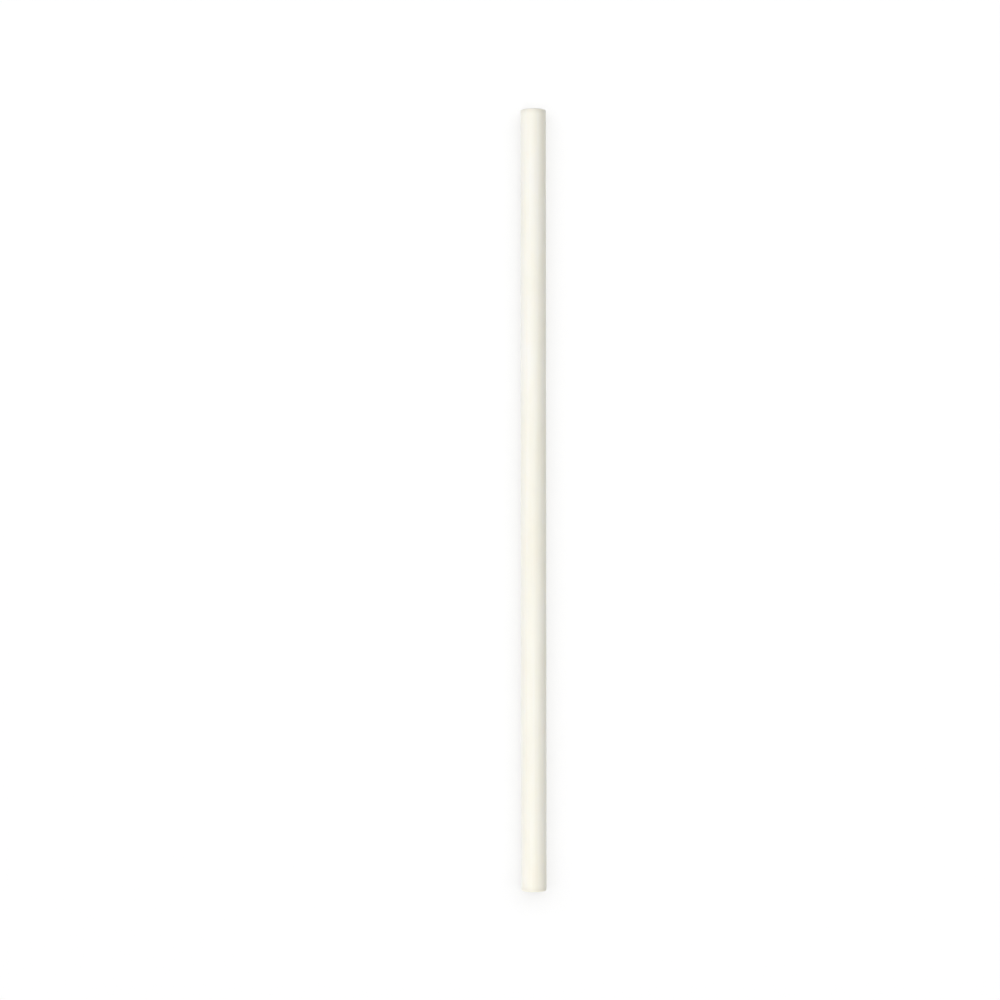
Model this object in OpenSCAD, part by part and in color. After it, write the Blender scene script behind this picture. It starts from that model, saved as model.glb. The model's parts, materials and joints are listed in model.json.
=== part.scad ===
// Straight drinking straw: one extruded tube, cut square at both ends.
// It lies on its side with its axis along Y, on the plane z = 0, and is centred on the origin.

/* [Tube] */
// Length from one cut end to the other
straw_length = 197; // [100:1:300]
// Outside diameter
outer_diameter = 6.4; // [4:0.1:14]
// Thickness of the wall
wall_thickness = 0.6; // [0.3:0.05:1.4]

/* [Cut ends] */
// Rounding of the outside edge, where the lips touch
outer_edge_radius = 0.35; // [0.05:0.05:0.9]
// Rounding of the inside edge, at the mouth of the bore
inner_edge_radius = 0.1; // [0.05:0.05:0.4]

/* [Hidden] */

// The two roundings of one end share the wall, and leave a narrow flat rim between them
most_of_wall = 0.9;
edge_fit = min(1, most_of_wall * wall_thickness / (outer_edge_radius + inner_edge_radius));
outer_edge = outer_edge_radius * edge_fit;
inner_edge = inner_edge_radius * edge_fit;

outer_radius = outer_diameter / 2;
bore_radius = outer_radius - wall_thickness;
half_length = straw_length / 2;

// Cream, the same all through the wall
cream = [0.965, 0.945, 0.875];
round_facets = 96;

// What a rounding takes off a corner that lies at the origin and points along +X and +Y
module corner_cut(radius) {
    translate([-radius, -radius])
        difference() {
            square(2 * radius);
            circle(r = radius, $fn = round_facets);
        }
}

// The wall's section on one side of the tube's axis: X is the distance from the axis, Y runs along it
module wall_section() {
    difference() {
        translate([bore_radius, -half_length])
            square([wall_thickness, straw_length]);
        for (end = [-1, 1]) {
            translate([outer_radius, end * half_length]) scale([1, end]) corner_cut(outer_edge);
            translate([bore_radius, end * half_length]) scale([-1, end]) corner_cut(inner_edge);
        }
    }
}

// The tube, turned from the section about its axis and laid down along Y
module straw() {
    color(cream)
        translate([0, 0, outer_radius])
            rotate([90, 0, 0])
                rotate_extrude($fn = round_facets) wall_section();
}

straw();
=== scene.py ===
"""A plain, straight drinking straw that lies on a pale table and is seen from straight above.

The straw is one extruded tube of cream plastic. The table, the lamps and the camera are the studio
that it is shown in.
"""

import json
import logging
import math
from dataclasses import dataclass, field
from enum import Enum

import bmesh
import bpy
from mathutils import Matrix, Vector


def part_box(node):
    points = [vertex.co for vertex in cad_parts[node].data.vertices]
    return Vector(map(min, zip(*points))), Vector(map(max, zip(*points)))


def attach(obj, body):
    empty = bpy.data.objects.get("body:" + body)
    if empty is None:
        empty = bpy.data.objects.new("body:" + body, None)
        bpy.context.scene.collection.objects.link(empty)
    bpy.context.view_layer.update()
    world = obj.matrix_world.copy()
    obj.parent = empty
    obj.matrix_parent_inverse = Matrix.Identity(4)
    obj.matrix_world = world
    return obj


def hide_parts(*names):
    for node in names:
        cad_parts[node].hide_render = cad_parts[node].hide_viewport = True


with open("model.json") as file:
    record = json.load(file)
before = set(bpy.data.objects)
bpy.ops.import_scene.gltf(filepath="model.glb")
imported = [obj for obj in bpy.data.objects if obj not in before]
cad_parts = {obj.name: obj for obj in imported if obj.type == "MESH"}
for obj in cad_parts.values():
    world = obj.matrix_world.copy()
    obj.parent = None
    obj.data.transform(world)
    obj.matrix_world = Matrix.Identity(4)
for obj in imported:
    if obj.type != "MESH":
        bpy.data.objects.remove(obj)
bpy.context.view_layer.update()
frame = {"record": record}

LOG = logging.getLogger("straw")
MM = 0.001

# The sockets of a Mix node, several of which have the same name
MIX_SHARE = 0
MIX_FROM_FLOAT, MIX_TO_FLOAT, MIX_FLOAT = 2, 3, 0
MIX_FROM_COLOUR, MIX_TO_COLOUR, MIX_COLOUR = 6, 7, 2


def linear(hex_colour: str) -> tuple[float, float, float, float]:
    """Turn an sRGB colour into the linear one that shaders and lamps take.

    The numbers in it are those of the sRGB standard.

    Args:
        hex_colour: Six hex digits after a hash sign, such as "#F6F1DF".

    Returns:
        Red, green, blue and an alpha of 1.
    """
    digits = hex_colour.lstrip("#")
    shares = [int(digits[i : i + 2], 16) / 255 for i in (0, 2, 4)]
    red, green, blue = (s / 12.92 if s <= 0.04045 else ((s + 0.055) / 1.055) ** 2.4 for s in shares)
    return red, green, blue, 1.0


def add_node(
    tree: bpy.types.NodeTree,
    kind: str,
    settings: dict[str, object] | None = None,
    inputs: dict[str | int, object] | None = None,
) -> bpy.types.Node:
    """Add one node to a tree, set it up and link what feeds it.

    Args:
        tree: The node tree of a material or of the world.
        kind: The node's type name, such as "ShaderNodeTexNoise".
        settings: Values of the node's own properties.
        inputs: A value, or an output socket to link, for each input by name or number.

    Returns:
        The new node.
    """
    node = tree.nodes.new(kind)
    for name, value in (settings or {}).items():
        setattr(node, name, value)
    for key, value in (inputs or {}).items():
        if isinstance(value, bpy.types.NodeSocket):
            tree.links.new(value, node.inputs[key])
        else:
            node.inputs[key].default_value = value
    return node


def empty_tree(owner: bpy.types.Material | bpy.types.World) -> bpy.types.NodeTree:
    """Give a material or the world an empty node tree.

    Args:
        owner: What gets the tree.

    Returns:
        The empty tree.
    """
    owner.use_nodes = True
    owner.node_tree.nodes.clear()
    return owner.node_tree


class Lit(Enum):
    """What a lamp lights. The lamp's shadows fall only there too."""

    STRAW = "straw_light"
    TABLE = "table_light"


@dataclass(frozen=True)
class ExtrudedPlantPlastic:
    """Extruded plant-based plastic (a filled PLA blend), cream all through, as it leaves the die.

    To the eye it is opaque and satin, with a soft broad shine and a slight glow at thin edges. The die
    leaves very faint lines along the tube, and the filler makes the cream a touch uneven. Towards both
    cuts the cream is painted darker: painted shade that stands in for the shade on the rounded rims.
    """

    name: str = "extruded_plant_plastic_cream"
    cream: str = "#F9F6E8"
    pale_cream: str = "#FBF9EF"
    deep_cream: str = "#F5F1E0"
    # A darker cream painted towards both cuts as painted shade on the rounded rims, and how far it reaches
    painted_rim_shade_cream: str = "#EEEADB"
    painted_rim_shade_reach: float = 1.6 * MM
    # Where on the tint's scale, from 0 to 1, each of the three creams lies
    deep_at: float = 0.3
    cream_at: float = 0.5
    pale_at: float = 0.7
    # How much of the tint follows the lines, and not the clouds
    line_share: float = 0.35
    roughness: float = 0.58
    roughness_swing: float = 0.08
    ior: float = 1.46
    sheen_weight: float = 0.5
    sheen_roughness: float = 0.5
    glow_weight: float = 0.15
    glow_depth: float = 0.5 * MM
    glow_radii: tuple[float, float, float] = (1.0, 0.85, 0.6)
    # The real die lines are some 0.1 mm apart, too fine for the picture, so they are drawn wider
    line_spacing: float = 0.6 * MM
    line_run: float = 60 * MM
    line_height: float = 0.004 * MM
    cloud_width: float = 5 * MM
    cloud_run: float = 22 * MM
    pore_spacing: float = 0.35 * MM
    pore_height: float = 0.002 * MM
    line_detail: float = 2.0
    cloud_detail: float = 3.0
    pore_detail: float = 1.0
    # Noise keeps mostly within this part of its range
    noise_low: float = 0.25
    noise_high: float = 0.75

    def _noise(
        self,
        tree: bpy.types.NodeTree,
        place: bpy.types.NodeSocket,
        across: float,
        along: float,
        detail: float,
    ) -> bpy.types.NodeSocket:
        """Add noise whose blotches have a real width across the tube and a real length along it.

        Args:
            tree: The material's node tree.
            place: The object coordinates, in metres.
            across: The blotches' width, in metres.
            along: The blotches' length, in metres.
            detail: How many finer layers the noise has.

        Returns:
            The noise's value, from 0 to 1.
        """
        scaled = add_node(
            tree,
            "ShaderNodeMapping",
            {"vector_type": "POINT"},
            {"Vector": place, "Scale": (1 / across, 1 / along, 1 / across)},
        )
        noise = add_node(
            tree,
            "ShaderNodeTexNoise",
            {"noise_dimensions": "3D"},
            {"Vector": scaled.outputs["Vector"], "Scale": 1.0, "Detail": detail, "Roughness": 0.5},
        )
        return noise.outputs["Fac"]

    def _blend(
        self, tree: bpy.types.NodeTree, clouds: bpy.types.NodeSocket, lines: bpy.types.NodeSocket
    ) -> bpy.types.NodeSocket:
        """Mix the broad clouds with a little of the fine lines.

        Args:
            tree: The material's node tree.
            clouds: The broad noise.
            lines: The fine noise.

        Returns:
            The mix, from 0 to 1.
        """
        mix = add_node(
            tree,
            "ShaderNodeMix",
            {"data_type": "FLOAT"},
            {MIX_SHARE: self.line_share, MIX_FROM_FLOAT: clouds, MIX_TO_FLOAT: lines},
        )
        return mix.outputs[MIX_FLOAT]

    def _painted_rim_shade_mask(
        self, tree: bpy.types.NodeTree, place: bpy.types.NodeSocket, half_length: float
    ) -> bpy.types.NodeSocket:
        """Tell how near a point is to a cut end, as the mask of the painted rim shade.

        Args:
            tree: The material's node tree.
            place: The object coordinates, in metres.
            half_length: How far the cuts lie from the middle of the tube, in metres.

        Returns:
            1 at a cut, falling smoothly to 0 within the reach of the painted shade.
        """
        axes = add_node(tree, "ShaderNodeSeparateXYZ", inputs={"Vector": place})
        from_middle = add_node(tree, "ShaderNodeMath", {"operation": "ABSOLUTE"}, {0: axes.outputs["Y"]})
        painted_rim_shade_share = add_node(
            tree,
            "ShaderNodeMapRange",
            {"interpolation_type": "SMOOTHSTEP"},
            {
                "Value": from_middle.outputs[0],
                "From Min": half_length - self.painted_rim_shade_reach,
                "From Max": half_length,
            },
        )
        return painted_rim_shade_share.outputs["Result"]

    def material(self, half_length: float) -> bpy.types.Material:
        """Build the material's nodes.

        Args:
            half_length: How far the cuts lie from the middle of the tube, in metres.

        Returns:
            The material, for the whole tube.
        """
        made = bpy.data.materials.new(self.name)
        tree = empty_tree(made)
        place = add_node(tree, "ShaderNodeTexCoord").outputs["Object"]
        lines = self._noise(tree, place, self.line_spacing, self.line_run, self.line_detail)
        clouds = self._noise(tree, place, self.cloud_width, self.cloud_run, self.cloud_detail)
        pores = self._noise(tree, place, self.pore_spacing, self.pore_spacing, self.pore_detail)

        tint = add_node(tree, "ShaderNodeValToRGB", inputs={"Fac": self._blend(tree, clouds, lines)})
        stops = tint.color_ramp.elements
        stops[0].position, stops[0].color = self.deep_at, linear(self.deep_cream)
        stops[1].position, stops[1].color = self.pale_at, linear(self.pale_cream)
        stops.new(self.cream_at).color = linear(self.cream)
        # Towards both cuts the cream gives way to the darker cream: painted shade on the rims
        colour = add_node(
            tree,
            "ShaderNodeMix",
            {"data_type": "RGBA"},
            {
                MIX_SHARE: self._painted_rim_shade_mask(tree, place, half_length),
                MIX_FROM_COLOUR: tint.outputs["Color"],
                MIX_TO_COLOUR: linear(self.painted_rim_shade_cream),
            },
        )

        roughness = add_node(
            tree,
            "ShaderNodeMapRange",
            inputs={
                "Value": lines,
                "From Min": self.noise_low,
                "From Max": self.noise_high,
                "To Min": self.roughness - self.roughness_swing / 2,
                "To Max": self.roughness + self.roughness_swing / 2,
            },
        )
        pore_relief = add_node(
            tree, "ShaderNodeBump", inputs={"Height": pores, "Distance": self.pore_height, "Strength": 1.0}
        )
        relief = add_node(
            tree,
            "ShaderNodeBump",
            inputs={
                "Height": lines,
                "Distance": self.line_height,
                "Strength": 1.0,
                "Normal": pore_relief.outputs["Normal"],
            },
        )
        surface = add_node(
            tree,
            "ShaderNodeBsdfPrincipled",
            {"subsurface_method": "RANDOM_WALK"},
            {
                "Base Color": colour.outputs[MIX_COLOUR],
                "Roughness": roughness.outputs["Result"],
                "IOR": self.ior,
                "Normal": relief.outputs["Normal"],
                "Subsurface Weight": self.glow_weight,
                "Subsurface Radius": self.glow_radii,
                "Subsurface Scale": self.glow_depth,
                "Sheen Weight": self.sheen_weight,
                "Sheen Roughness": self.sheen_roughness,
            },
        )
        add_node(tree, "ShaderNodeOutputMaterial", inputs={"Surface": surface.outputs["BSDF"]})
        return made



@dataclass
class Straw:
    """The straw: one tube along Y that lies on z = 0, cut square, with softly rounded edges."""

    length: float
    outer_radius: float
    bore_radius: float
    outer_edge: float
    inner_edge: float
    finish: ExtrudedPlantPlastic = field(default_factory=ExtrudedPlantPlastic)
    turn_steps: int = 160
    outer_edge_steps: int = 8
    inner_edge_steps: int = 4
    # Vertices closer than this are one
    weld: float = 0.001 * MM
    name: str = "straw_tube"
    node: str = "straw"
    body: str = "root"

    @classmethod
    def from_record(cls, record: dict) -> "Straw":
        """Take the straw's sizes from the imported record's mounts and box.

        Args:
            record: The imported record.

        Returns:
            The straw at the size of its solid.
        """
        dims = {mount["name"]: mount["dims"] for mount in record["mounts"]}
        low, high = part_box("straw")
        length = high.y - low.y
        return cls(
            length=length,
            outer_radius=dims["barrel"]["r_mm"] * MM,
            bore_radius=dims["bore"]["r_mm"] * MM,
            outer_edge=(length - dims["barrel"]["length_mm"] * MM) / 2,
            inner_edge=(length - dims["bore"]["length_mm"] * MM) / 2,
        )

    def _edges_at(self, mesh: bmesh.types.BMesh, radius: float) -> list[bmesh.types.BMEdge]:
        """Find the round edges of one radius at both cut ends.

        Args:
            mesh: The turned tube, with its axis still on the Y axis.
            radius: The edges' distance from the axis.

        Returns:
            The edges of both rings.
        """
        near = 0.01 * MM
        found = []
        for edge in mesh.edges:
            on_ring = all(abs(math.hypot(v.co.x, v.co.z) - radius) < near for v in edge.verts)
            flat = abs(edge.verts[0].co.y - edge.verts[1].co.y) < near
            if on_ring and flat:
                found.append(edge)
        return found

    def _round(self, mesh: bmesh.types.BMesh, radius: float, edge: float, steps: int) -> None:
        """Round the edges of one radius at both ends.

        Args:
            mesh: The turned tube.
            radius: The edges' distance from the axis.
            edge: The rounding's own radius.
            steps: How many faces the rounding has.
        """
        bmesh.ops.bevel(
            mesh,
            geom=self._edges_at(mesh, radius),
            offset=edge,
            offset_type="OFFSET",
            segments=steps,
            profile=0.5,
            affect="EDGES",
            material=-1,
            clamp_overlap=False,
        )

    def mesh(self) -> bpy.types.Mesh:
        """Turn the wall's section about the axis, round its edges and lay the tube down.

        Returns:
            The tube's mesh, in its place.
        """
        built = bmesh.new()
        half = self.length / 2
        corners = [
            built.verts.new((radius, y, 0.0))
            for radius, y in (
                (self.bore_radius, -half),
                (self.outer_radius, -half),
                (self.outer_radius, half),
                (self.bore_radius, half),
            )
        ]
        section = [built.edges.new((corners[i - 1], corners[i])) for i in range(len(corners))]
        bmesh.ops.spin(
            built,
            geom=corners + section,
            cent=(0.0, 0.0, 0.0),
            axis=(0.0, 1.0, 0.0),
            angle=math.tau,
            steps=self.turn_steps,
            use_merge=True,
        )
        bmesh.ops.remove_doubles(built, verts=built.verts, dist=self.weld)
        bmesh.ops.recalc_face_normals(built, faces=built.faces)
        self._round(built, self.outer_radius, self.outer_edge, self.outer_edge_steps)
        self._round(built, self.bore_radius, self.inner_edge, self.inner_edge_steps)
        bmesh.ops.transform(
            built, matrix=Matrix.Translation((0.0, 0.0, self.outer_radius)), verts=built.verts
        )
        for face in built.faces:
            face.smooth = True
        made = bpy.data.meshes.new(self.name)
        built.to_mesh(made)
        built.free()
        return made

    def build(self) -> bpy.types.Object:
        """Make the piece, dress it and let it stand for its solid.

        Returns:
            The straw.
        """
        piece = bpy.data.objects.new(self.name, self.mesh())
        bpy.context.scene.collection.objects.link(piece)
        piece.data.materials.append(self.finish.material(self.length / 2))
        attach(piece, self.body)
        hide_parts(self.node)
        return piece


@dataclass(frozen=True)
class Lamp:
    """A softbox: a rectangle of even light that is aimed at the middle of the straw.

    Its place and size are in metres.
    """

    name: str
    lit: Lit
    place: tuple[float, float, float]
    size: tuple[float, float]
    watts: float
    colour: str = "#FFFFFF"

    def build(self, receivers: bpy.types.Collection) -> None:
        """Make the lamp, out of the camera's sight.

        Args:
            receivers: What the lamp lights.
        """
        light = bpy.data.lights.new(self.name, "AREA")
        light.shape = "RECTANGLE"
        light.size, light.size_y = self.size
        light.energy = self.watts
        light.color = linear(self.colour)[:3]
        lamp = bpy.data.objects.new(self.name, light)
        lamp.location = self.place
        lamp.rotation_euler = (-Vector(self.place)).to_track_quat("-Z", "Y").to_euler()
        lamp.visible_camera = False
        lamp.light_linking.receiver_collection = receivers
        bpy.context.scene.collection.objects.link(lamp)


@dataclass
class Studio:
    """The pale table, the even surroundings and the lamps.

    Three softboxes model the straw: from its near end, from above and from the left. The table has a
    softbox of its own, a wide one that leans towards the straw's far end, so that the straw's soft shadow
    is alike on both sides and reaches a little beyond its near end.
    """

    table_side: float = 2.4
    table_colour: str = "#F2F2F2"
    backdrop_colour: str = "#FFFFFF"
    # How much of the table's look is lit, and so keeps the shadow
    shadow_share: float = 0.5
    # How strongly the surroundings light the scene, where the white that shows has 1
    surroundings: float = 0.05
    lamps: tuple[Lamp, ...] = (
        Lamp(
            "near_softbox",
            Lit.STRAW,
            place=(-1.1, -6.1, 5.1),
            size=(7.0, 7.0),
            watts=445.0,
            colour="#FFFEFA",
        ),
        Lamp(
            "top_softbox",
            Lit.STRAW,
            place=(1.3, 0.0, 7.9),
            size=(3.6, 3.6),
            watts=191.0,
            colour="#FFFEFA",
        ),
        Lamp(
            "left_softbox",
            Lit.STRAW,
            place=(-4.0, 3.0, 6.2),
            size=(3.6, 3.6),
            watts=284.0,
            colour="#EEF0FF",
        ),
        Lamp("table_softbox", Lit.TABLE, place=(0.0, 1.6, 7.6), size=(30.0, 16.8), watts=2550.0),
    )

    def _sees_backdrop(self, tree: bpy.types.NodeTree) -> bpy.types.NodeSocket:
        """Tell the rays that show the backdrop from those that carry light.

        Args:
            tree: The table's or the world's node tree.

        Returns:
            1 for camera, glossy and transmission rays, and 0 for the rest.
        """
        path = add_node(tree, "ShaderNodeLightPath")
        either = add_node(
            tree,
            "ShaderNodeMath",
            {"operation": "MAXIMUM"},
            {0: path.outputs["Is Camera Ray"], 1: path.outputs["Is Glossy Ray"]},
        )
        any_of = add_node(
            tree,
            "ShaderNodeMath",
            {"operation": "MAXIMUM"},
            {0: either.outputs[0], 1: path.outputs["Is Transmission Ray"]},
        )
        return any_of.outputs[0]

    def _table_material(self) -> bpy.types.Material:
        """Build the table's matt white, which shows white and keeps a share of its shadow.

        Returns:
            The material.
        """
        made = bpy.data.materials.new("matt_white_table")
        tree = empty_tree(made)
        lit = add_node(tree, "ShaderNodeBsdfDiffuse", inputs={"Color": linear(self.table_colour)})
        white = add_node(
            tree, "ShaderNodeEmission", inputs={"Color": linear(self.backdrop_colour), "Strength": 1.0}
        )
        share = add_node(
            tree,
            "ShaderNodeMath",
            {"operation": "MULTIPLY"},
            {0: self._sees_backdrop(tree), 1: 1 - self.shadow_share},
        )
        mix = add_node(
            tree,
            "ShaderNodeMixShader",
            inputs={0: share.outputs[0], 1: lit.outputs["BSDF"], 2: white.outputs["Emission"]},
        )
        add_node(tree, "ShaderNodeOutputMaterial", inputs={"Surface": mix.outputs["Shader"]})
        return made

    def _table(self) -> bpy.types.Object:
        """Make the table's top at z = 0.

        Returns:
            The table's top.
        """
        built = bmesh.new()
        bmesh.ops.create_grid(built, x_segments=1, y_segments=1, size=self.table_side / 2)
        made = bpy.data.meshes.new("table_top")
        built.to_mesh(made)
        built.free()
        top = bpy.data.objects.new("table_top", made)
        bpy.context.scene.collection.objects.link(top)
        top.data.materials.append(self._table_material())
        return top

    def _surroundings(self) -> None:
        """Light the scene evenly from all round, and show white behind it."""
        world = bpy.data.worlds.new("white_room")
        bpy.context.scene.world = world
        tree = empty_tree(world)
        strength = add_node(
            tree,
            "ShaderNodeMapRange",
            inputs={"Value": self._sees_backdrop(tree), "To Min": self.surroundings, "To Max": 1.0},
        )
        back = add_node(
            tree,
            "ShaderNodeBackground",
            inputs={"Color": linear(self.backdrop_colour), "Strength": strength.outputs["Result"]},
        )
        add_node(tree, "ShaderNodeOutputWorld", inputs={"Surface": back.outputs["Background"]})

    def build(self, straw: bpy.types.Object) -> None:
        """Make the table, the surroundings and every lamp.

        Args:
            straw: The straw, which has lamps of its own.
        """
        self._surroundings()
        receivers = {lit: bpy.data.collections.new(lit.value) for lit in Lit}
        receivers[Lit.STRAW].objects.link(straw)
        receivers[Lit.TABLE].objects.link(self._table())
        for lamp in self.lamps:
            lamp.build(receivers[lamp.lit])
            LOG.info("lamp %s: %.1f W, %.2f by %.2f m", lamp.name, lamp.watts, *lamp.size)


@dataclass(frozen=True)
class OverheadCamera:
    """The camera, which looks straight down with the straw upright in its picture.

    The pixel values are the straw's place in the picture, which is square.
    """

    picture_px: float = 1000.0
    straw_length_px: float = 784.5
    straw_centre_px: tuple[float, float] = (533.6, 500.25)
    # How far the straw's lower end lies to the right of its upper one
    straw_lean_px: float = 0.75
    # The ends' outlines bulge by some 2 pixels, which gives the height
    eye_height: float = 586 * MM
    sensor: float = 36.0

    def build(self, straw: Straw) -> bpy.types.Object:
        """Place the camera so that the straw comes where the picture has it.

        Args:
            straw: The straw, whose top line gives the scale.

        Returns:
            The scene's camera.
        """
        focal_px = self.straw_length_px / straw.length * (self.eye_height - 2 * straw.outer_radius)
        px_per_metre = focal_px / (self.eye_height - straw.outer_radius)
        roll = -self.straw_lean_px / self.straw_length_px
        middle = self.picture_px / 2
        across = (middle - self.straw_centre_px[0]) / px_per_metre
        along = (self.straw_centre_px[1] - middle) / px_per_metre
        data = bpy.data.cameras.new("overhead_camera")
        data.sensor_width = self.sensor
        data.lens = focal_px / self.picture_px * self.sensor
        camera = bpy.data.objects.new("overhead_camera", data)
        camera.location = Matrix.Rotation(roll, 3, "Z") @ Vector((across, along, self.eye_height))
        camera.rotation_euler.z = roll
        bpy.context.scene.collection.objects.link(camera)
        bpy.context.scene.camera = camera
        return camera


def main() -> None:
    """Build the straw, the studio and the camera."""
    logging.basicConfig(level=logging.INFO, format="%(name)s: %(message)s")
    straw = Straw.from_record(frame["record"])
    piece = straw.build()
    LOG.info("piece %s: %d faces", piece.name, len(piece.data.polygons))
    Studio().build(piece)
    camera = OverheadCamera().build(straw)
    LOG.info("camera at %.4f, %.4f, %.4f m", *camera.location)
    bpy.context.scene.view_settings.view_transform = "Standard"


if __name__ == "__main__":
    main()
